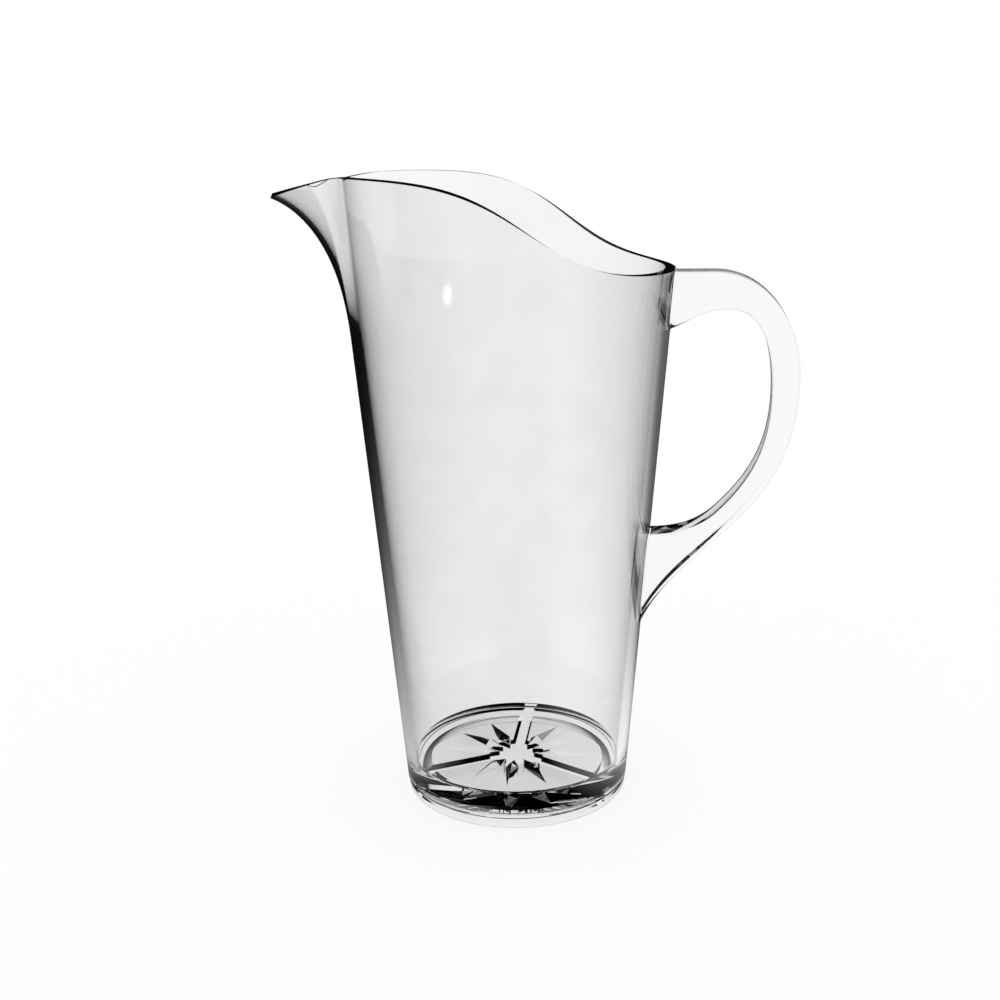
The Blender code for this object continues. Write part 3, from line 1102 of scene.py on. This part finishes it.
@dataclass
class Studio:
    """A white sweep that shows through the clear plastic, in a dim room.

    Light that goes straight through the pitcher sees the white sweep, which is brightest in
    the middle. Light that the plastic turns aside sees the dim room beside it, and that
    draws the dark edges. On the floor these are painted into its glow: the fall-off to
    the sides is painted shade, measured from the camera's place, and the dim room is
    painted light and shade, with a painted glow beside the pitcher, painted shade under it,
    a painted bright strip under the spoke at the back and a painted pool of light in front.
    Bearings are given by their sines: to the right along X, to the back along Y.

    Attributes:
        floor_size: Side of the square floor.
        floor_drop: How far the floor lies below the pitcher's foot.
        paper_colour: Colour of the floor.
        sweep_middle: Bearing to the right where the sweep is brightest.
        sweep_even: How far from there the sweep stays as bright.
        floor_fall: How fast the floor's painted shade darkens it beyond that.
        backdrop_fall: How fast the backdrop darkens beyond that.
        sweep_least: Least brightness of the sweep.
        back_low: Bearing to the back where the sweep starts to darken at its sides.
        back_high: Bearing to the back where it darkens in full.
        turned: Light mirrored more often than this was turned aside.
        two_walls: Light that crossed more faces than this went through two walls.
        faces_per_pass: Faces that light crosses in one wall.
        room_left: Brightness of the dim room on the left.
        room_right: Brightness of the dim room on the right.
        room_low: Bearing to the right where the room starts to brighten.
        room_high: Bearing to the right where it has brightened in full.
        window: Brightness that a window far on the right adds.
        window_low: Bearing to the right where the window starts.
        window_high: Bearing to the right where it is full.
        glow_near: Brightness of the painted glow on the floor close to the pitcher.
        glow_reach: Distance over which that glow fades.
        glow_low: Bearing to a side where the glow starts.
        glow_high: Bearing to a side where it is full.
        clear_start: How far to a side the floor is still dark with painted shade, as under the
            pitcher.
        clear_full: How far to a side the painted shade has gone and the floor is as bright as its
            painted glow.
        shade_share: How much of the floor is matt, so that it keeps the shadow.
        spoke_half_width: Half the width of the painted bright strip under the spoke at the back.
        spoke_end: Where that strip starts, along Y.
        glint_place: Middle of the painted pool of light in front, which gives the painted highlight
            on the near wall.
        glint_radius: Radius of that pool.
        glint: Brightness of its middle.
        camera_distance: Distance of the camera from the pitcher's axis.
        camera_turn: Turn of the camera about that axis, from the front to the right.
        camera_height: Height of the camera above the floor.
        aim_turn: Turn of the camera's view to the left.
        aim_drop: Turn of the camera's view downwards.
        roll: Turn of the camera about its view.
        focal_length: Focal length of the lens, in millimetres.
        sensor_width: Width of the picture in the camera, in millimetres.
        clip_start: Least distance that the camera sees.
    """

    floor_size: float = 4.5
    floor_drop: float = 0.0002
    paper_colour: tuple[float, float, float, float] = (0.98, 0.98, 0.98, 1.0)
    sweep_middle: float = -0.115
    sweep_even: float = 0.038
    floor_fall: float = 1.6
    backdrop_fall: float = 0.7
    sweep_least: float = 0.5
    back_low: float = 0.3
    back_high: float = 0.6
    turned: float = 0.5
    two_walls: float = 2.5
    faces_per_pass: float = 2.0
    room_left: float = 0.004
    room_right: float = 0.125
    room_low: float = 0.0
    room_high: float = 0.15
    window: float = 0.28
    window_low: float = 0.50
    window_high: float = 0.62
    glow_near: float = 0.84
    glow_reach: float = 0.148
    glow_low: float = 0.32
    glow_high: float = 0.83
    clear_start: float = 0.044
    clear_full: float = 0.060
    shade_share: float = 0.15
    spoke_half_width: float = 0.0021
    spoke_end: float = 0.035
    glint_place: tuple[float, float] = (-0.458, -0.680)
    glint_radius: float = 0.045
    glint: float = 5.0
    camera_distance: float = 0.5251
    camera_turn: float = math.radians(7.64)
    camera_height: float = 0.2703
    aim_turn: float = math.radians(8.207)
    aim_drop: float = math.radians(15.64)
    roll: float = math.radians(-1.048)
    focal_length: float = 48.19
    sensor_width: float = 36.0
    clip_start: float = 0.01

    def station(self) -> Vector:
        """Return the place of the camera."""
        turn = self.camera_turn
        reach = self.camera_distance
        return Vector((reach * math.sin(turn), -reach * math.cos(turn), self.camera_height))

    def seen(
        self,
        maths: NodeMaths,
        across: NodeSocket,
        behind: NodeSocket,
        fall: float,
        room: NodeSocket,
    ) -> NodeSocket:
        """Return a socket with the brightness that a ray sees.

        Args:
            maths: Arithmetic on the node tree.
            across: How far to the right the ray ends, as the sine of its bearing.
            behind: How far behind the pitcher the ray ends, as the sine of its bearing.
            fall: How fast the white sweep darkens away from its middle.
            room: Brightness of the dim room, for light that was turned aside.

        Returns:
            The socket.
        """
        through = maths.do("GREATER_THAN", maths.counted(LightCount.CROSSED), self.two_walls)
        off = maths.do("ABSOLUTE", maths.do("SUBTRACT", across, self.sweep_middle))
        off = maths.do("MAXIMUM", maths.do("SUBTRACT", off, self.sweep_even), 0.0)
        loss = maths.do("MULTIPLY", off, fall)
        loss = maths.do("MINIMUM", loss, 1.0 - self.sweep_least)
        loss = maths.do("MULTIPLY", loss, self.ramp(maths, behind, self.back_low, self.back_high))
        sweep = maths.do("SUBTRACT", 1.0, maths.do("MULTIPLY", loss, through))
        change = maths.do("SUBTRACT", room, sweep)
        return maths.do("MULTIPLY_ADD", change, self.turned_aside(maths), sweep)

    def turned_aside(self, maths: NodeMaths) -> NodeSocket:
        """Return a socket that is 1 for light that the plastic has mirrored, else 0."""
        return maths.do("GREATER_THAN", maths.counted(LightCount.MIRRORED), self.turned)

    def ramp(self, maths: NodeMaths, value: NodeSocket, low: float, high: float) -> NodeSocket:
        """Return a socket that rises from 0 to 1 between two values.

        Args:
            maths: Arithmetic on the node tree.
            value: The socket to compare.
            low: Value with the result 0.
            high: Value with the result 1.

        Returns:
            The socket.
        """
        rise = maths.tree.nodes.new("ShaderNodeMapRange")
        rise.inputs["From Min"].default_value = low
        rise.inputs["From Max"].default_value = high
        maths.tree.links.new(value, rise.inputs["Value"])
        return rise.outputs["Result"]

    def side_glow(self, maths: NodeMaths, across: NodeSocket) -> NodeSocket:
        """Return a socket with the room's brightness: dark left, grey right, a window beyond."""
        right = self.ramp(maths, across, self.room_low, self.room_high)
        grey = maths.do("MULTIPLY_ADD", right, self.room_right - self.room_left, self.room_left)
        beyond = self.ramp(maths, across, self.window_low, self.window_high)
        return maths.do("MULTIPLY_ADD", beyond, self.window, grey)

    def backdrop(self) -> None:
        """Make the world: white behind the pitcher, dim at its sides."""
        world = bpy.data.worlds.new("white_sweep")
        bpy.context.scene.world = world
        world.use_nodes = True
        tree = world.node_tree
        background = tree.nodes["Background"]
        background.inputs["Color"].default_value = (1.0, 1.0, 1.0, 1.0)
        place = tree.nodes.new("ShaderNodeTexCoord")
        split = tree.nodes.new("ShaderNodeSeparateXYZ")
        tree.links.new(place.outputs["Generated"], split.inputs["Vector"])
        across = split.outputs["X"]
        maths = NodeMaths(tree)
        room = self.side_glow(maths, across)
        seen = self.seen(maths, across, split.outputs["Y"], self.backdrop_fall, room)
        tree.links.new(seen, background.inputs["Strength"])

    def painted_floor_glow(self, maths: NodeMaths) -> NodeSocket:
        """Return a socket with the floor's painted brightness in light that was turned aside.

        It is dark with painted shade under the pitcher and brightest with a painted glow just
        beside it, and fades outwards.

        Args:
            maths: Arithmetic on the floor's node tree.

        Returns:
            The socket.
        """
        across, along, _ = maths.place()
        sideways = maths.do("ABSOLUTE", across)
        distance = maths.length(across, along)
        fade = maths.do("EXPONENT", maths.do("DIVIDE", distance, -self.glow_reach))
        bearing = maths.do("DIVIDE", across, distance)
        beside = self.ramp(maths, maths.do("ABSOLUTE", bearing), self.glow_low, self.glow_high)
        near = maths.do("MULTIPLY", maths.do("MULTIPLY", fade, self.glow_near), beside)
        # Painted glow beside the pitcher plus the dim room's light painted onto the floor, under
        # painted shade where the pitcher stands.
        clear = self.ramp(maths, sideways, self.clear_start, self.clear_full)
        glow = maths.do("MULTIPLY", maths.do("ADD", near, self.side_glow(maths, bearing)), clear)
        glow = maths.do("MAXIMUM", glow, self.painted_spoke_glow(maths, across, along))
        return maths.do("ADD", glow, self.painted_glint_pool(maths, across, along))

    def painted_spoke_glow(self, maths: NodeMaths, across: NodeSocket, along: NodeSocket) -> NodeSocket:
        """Return a socket that is 1 on the paper under the end of the spoke at the back, a painted
        bright strip that shows through the spoke's end.

        It is only seen by light that comes out of the plastic standing on the paper, which
        has crossed an odd number of faces.

        Args:
            maths: Arithmetic on the floor's node tree.
            across: The place along X.
            along: The place along Y.

        Returns:
            The socket.
        """
        touching = maths.do("MODULO", maths.counted(LightCount.CROSSED), self.faces_per_pass)
        strip = maths.do("LESS_THAN", maths.do("ABSOLUTE", across), self.spoke_half_width)
        strip = maths.do("MULTIPLY", strip, maths.do("GREATER_THAN", along, self.spoke_end))
        return maths.do("MULTIPLY", strip, touching)

    def painted_glint_pool(self, maths: NodeMaths, across: NodeSocket, along: NodeSocket) -> NodeSocket:
        """Return a socket with the painted pool of light in front, which makes a painted highlight
        on the near wall.

        Args:
            maths: Arithmetic on the floor's node tree.
            across: The place along X.
            along: The place along Y.

        Returns:
            The socket.
        """
        aside = maths.do("SUBTRACT", across, self.glint_place[0])
        ahead = maths.do("SUBTRACT", along, self.glint_place[1])
        share = maths.do("DIVIDE", maths.length(aside, ahead), self.glint_radius)
        pool = maths.do("MAXIMUM", maths.do("SUBTRACT", 1.0, maths.do("POWER", share, 2.0)), 0.0)
        # The painted pool is only seen by light that crossed at most two faces, so it glints in the
        # near wall only.
        outside = maths.do("LESS_THAN", maths.counted(LightCount.CROSSED), self.two_walls)
        return maths.do("MULTIPLY", maths.do("MULTIPLY", pool, self.glint), outside)

    def paper(self) -> Material:
        """Make the floor's material: white to straight light with painted shade to the sides, and
        painted light and shade to light turned aside.

        Returns:
            The material.
        """
        made = bpy.data.materials.new("pale_floor")
        made.use_nodes = True
        tree = made.node_tree
        tree.nodes.clear()
        maths = NodeMaths(tree)
        across, along, _ = maths.place()
        # The floor's painted shade to the sides is measured from the camera's place.
        station = self.station()
        right = maths.do("SUBTRACT", across, station.x)
        ahead = maths.do("SUBTRACT", along, station.y)
        sideways = maths.do("DIVIDE", right, maths.length(right, ahead))
        behind = maths.do("DIVIDE", along, maths.length(across, along))
        seen = self.seen(maths, sideways, behind, self.floor_fall, self.painted_floor_glow(maths))
        glow = tree.nodes.new("ShaderNodeEmission")
        tree.links.new(seen, glow.inputs["Strength"])
        matt = tree.nodes.new("ShaderNodeBsdfDiffuse")
        matt.inputs["Color"].default_value = self.paper_colour
        aside = self.turned_aside(maths)
        share = maths.do("MULTIPLY_ADD", aside, self.shade_share, 1.0 - self.shade_share)
        mix = tree.nodes.new("ShaderNodeMixShader")
        tree.links.new(share, mix.inputs["Fac"])
        tree.links.new(matt.outputs["BSDF"], mix.inputs[1])
        tree.links.new(glow.outputs["Emission"], mix.inputs[2])
        output = tree.nodes.new("ShaderNodeOutputMaterial")
        tree.links.new(mix.outputs["Shader"], output.inputs["Surface"])
        return made

    def floor(self) -> Object:
        """Make the pale floor, which keeps the pitcher's shadow.

        Returns:
            The floor.
        """
        deselect_all()
        place = (0.0, 0.0, -self.floor_drop)
        bpy.ops.mesh.primitive_plane_add(size=self.floor_size, location=place)
        floor = named("pale_floor")
        floor.data.materials.append(self.paper())
        return floor

    def camera(self) -> Object:
        """Make the camera at the photograph's viewing angle.

        Returns:
            The camera.
        """
        place = self.station()
        aim = Vector((
            -math.sin(self.aim_turn) * math.cos(self.aim_drop),
            math.cos(self.aim_turn) * math.cos(self.aim_drop),
            -math.sin(self.aim_drop),
        ))
        level = Vector((math.cos(self.aim_turn), math.sin(self.aim_turn), 0.0))
        upward = level.cross(aim)
        right = level * math.cos(self.roll) + upward * math.sin(self.roll)
        up = upward * math.cos(self.roll) - level * math.sin(self.roll)
        lens = bpy.data.cameras.new("camera")
        lens.sensor_width = self.sensor_width
        lens.lens = self.focal_length
        lens.clip_start = self.clip_start
        camera = bpy.data.objects.new("camera", lens)
        bpy.context.scene.collection.objects.link(camera)
        camera.matrix_world = Matrix((
            (right.x, up.x, -aim.x, place.x),
            (right.y, up.y, -aim.y, place.y),
            (right.z, up.z, -aim.z, place.z),
            (0.0, 0.0, 0.0, 1.0),
        ))
        bpy.context.scene.camera = camera
        return camera


FORM = WallForm()
WALL_FINISH = ClearPlastic(
    slot=Slot.WALL,
    index=1.5,
    tint=0.965,
    haze=0.012,
    haze_scale=60.0,
    ripple=0.00002,
    ripple_scale=35.0,
    ripple_stretch=6.0,
)
BASE_FINISH = ClearPlastic(
    slot=Slot.BASE,
    index=1.5,
    tint=0.985,
    haze=0.010,
    haze_scale=90.0,
    ripple=0.00001,
    ripple_scale=60.0,
    ripple_stretch=1.0,
)
HANDLE_FINISH = ClearPlastic(
    slot=Slot.HANDLE,
    index=1.4,
    tint=0.99,
    haze=0.010,
    haze_scale=80.0,
    ripple=0.00001,
    ripple_scale=50.0,
    ripple_stretch=2.0,
)


def main() -> None:
    """Build the studio and the pitcher's pieces in order and note their size."""
    logging.basicConfig(level=logging.INFO, format="%(name)s: %(message)s")
    bpy.context.scene.view_settings.view_transform = "Standard"
    studio = Studio()
    studio.camera()
    studio.backdrop()
    studio.floor()
    base = StarBase(FORM, BASE_FINISH)
    handle = StrapHandle(FORM, HANDLE_FINISH)
    for piece in (BodyShell(FORM, WALL_FINISH, base, handle), base, handle):
        piece.build()


if __name__ == "__main__":
    main()
